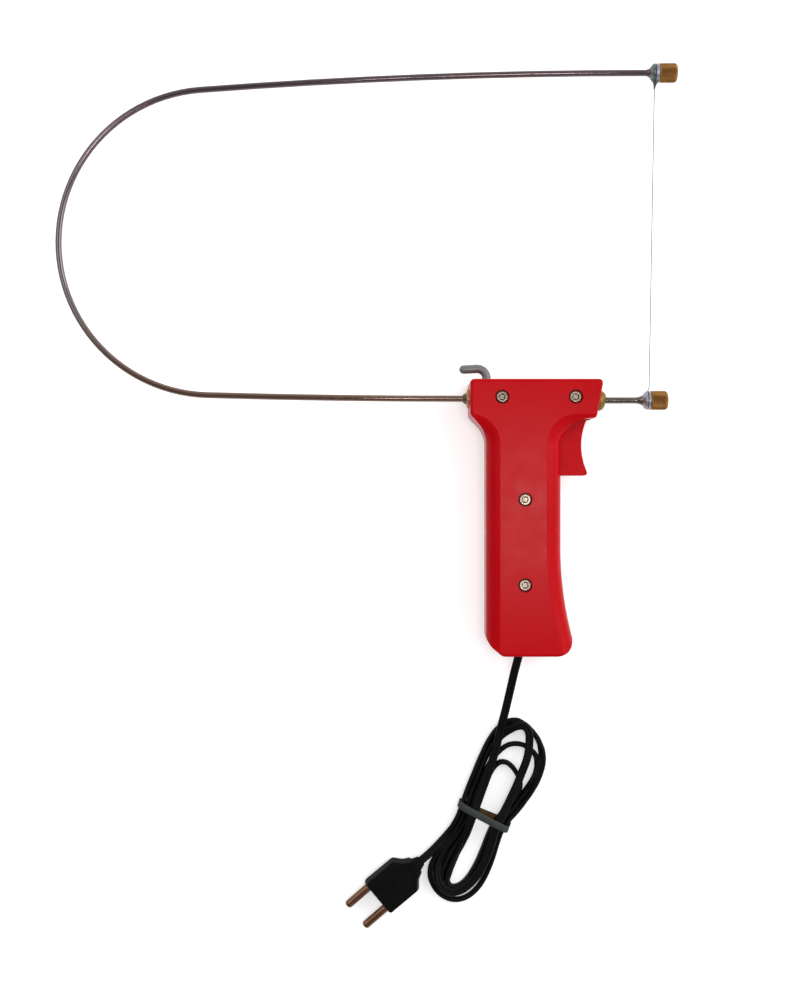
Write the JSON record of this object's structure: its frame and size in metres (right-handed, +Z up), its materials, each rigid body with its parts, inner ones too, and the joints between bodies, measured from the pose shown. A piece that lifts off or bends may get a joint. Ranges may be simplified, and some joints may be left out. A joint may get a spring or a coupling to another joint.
{
  "type": "hot wire foam cutter",
  "caption": "Hand held hot-wire foam cutter: a red pistol grip with a trigger, a steel bow that stretches a heating wire, and a tied mains cord with a two-pin plug.",
  "frame": {"origin": "centre of the tool's box, without its cord, on the surface it lies on", "axes": "+X from the back of the bow to the nose, +Y from the foot of the grip to the upper arm of the bow, +Z up from the surface it lies on"},
  "size_m": [0.4148, 0.5799, 0.037],
  "materials": {
    "red_plastic": "satin",
    "bright_steel": "polished",
    "zinc_steel": "satin",
    "nickel_screw": "polished",
    "brass": "satin",
    "heating_wire": "drawn",
    "black_cord": "satin",
    "black_plug": "satin",
    "grey_tie": "matte",
    "pin_metal": "polished",
    "switch_plastic": "matte",
    "white_plastic": "matte",
    "core_steel": "laminated",
    "copper": "enamelled",
    "wire_sheath": "matte"
  },
  "bodies": {
    "handle": {"handle_shell_top": "red_plastic", "handle_shell_bottom": "red_plastic", "shell_screws": "nickel_screw", "trigger_pivot_pin": "zinc_steel", "trigger_return_spring": "zinc_steel", "switch_body": "switch_plastic", "switch_terminals": "brass", "transformer_core": "core_steel", "transformer_bobbin": "switch_plastic", "primary_winding": "copper", "secondary_winding": "copper", "bow": "bright_steel", "bow_clamp_block": "brass", "rear_bush": "brass", "nose_rod": "bright_steel", "nose_bush": "brass", "nose_block": "brass", "nose_set_screw": "zinc_steel", "upper_cup_washer": "zinc_steel", "lower_cup_washer": "zinc_steel", "cutting_wire": "heating_wire", "cord_clamp": "switch_plastic", "cord_clamp_screws": "zinc_steel", "cord_inner": "black_cord", "cord_lead": "black_cord", "cord_hank": "black_cord", "cord_tail": "black_cord", "hank_tie": "grey_tie", "plug_body": "black_plug", "plug_pins": "pin_metal", "bow_supply_wire": "wire_sheath", "nose_supply_wire": "wire_sheath", "live_wire": "wire_sheath", "switched_wire": "wire_sheath", "neutral_wire": "wire_sheath"},
    "trigger": {"trigger": "red_plastic"},
    "switch_plunger": {"switch_plunger": "white_plastic"},
    "clamp_screw": {"bow_clamp_screw": "zinc_steel"},
    "upper_washer": {"upper_flat_washer": "zinc_steel"},
    "upper_nut": {"upper_thumb_nut": "brass"},
    "lower_washer": {"lower_flat_washer": "zinc_steel"},
    "lower_nut": {"lower_thumb_nut": "brass"}
  },
  "joints": [
    {"name": "trigger_pull", "type": "hinge", "parent": "handle", "child": "trigger", "pos_m": [0.1315, -0.0335, 0.0185], "axis": [0, 0, -1], "range_deg": [0, 7], "stiffness_Nm_per_rad": 0.6, "springref_deg": -4.58, "deforming": ["trigger_return_spring"]},
    {"name": "plunger_press", "type": "slide", "parent": "handle", "child": "switch_plunger", "axis": [-1, 0, 0], "range_m": [0, 0.0022]},
    {"name": "clamp_screw_turn", "type": "hinge", "parent": "handle", "child": "clamp_screw", "pos_m": [0.0796, -0.02, 0.0185], "axis": [0, 1, 0], "range_deg": [0, 180]},
    {"name": "upper_washer_slide", "type": "slide", "parent": "handle", "child": "upper_washer", "axis": [1, 0, 0], "range_m": [0, 0.0007]},
    {"name": "upper_nut_turn", "type": "hinge", "parent": "upper_washer", "child": "upper_nut", "pos_m": [0.2, 0.19169, 0.0185], "axis": [1, 0, 0], "range_deg": [0, 361]},
    {"name": "lower_washer_slide", "type": "slide", "parent": "handle", "child": "lower_washer", "axis": [1, 0, 0], "range_m": [0, 0.0007]},
    {"name": "lower_nut_turn", "type": "hinge", "parent": "lower_washer", "child": "lower_nut", "pos_m": [0.195, -0.0266, 0.0185], "axis": [1, 0, 0], "range_deg": [0, 361]}
  ],
  "couplings": [
    {"joint": "plunger_press", "follows": "trigger_pull", "m_per_rad": 0.0175},
    {"joint": "upper_nut_turn", "follows": "upper_washer_slide", "rad_per_m": 8976},
    {"joint": "lower_nut_turn", "follows": "lower_washer_slide", "rad_per_m": 8976}
  ]
}
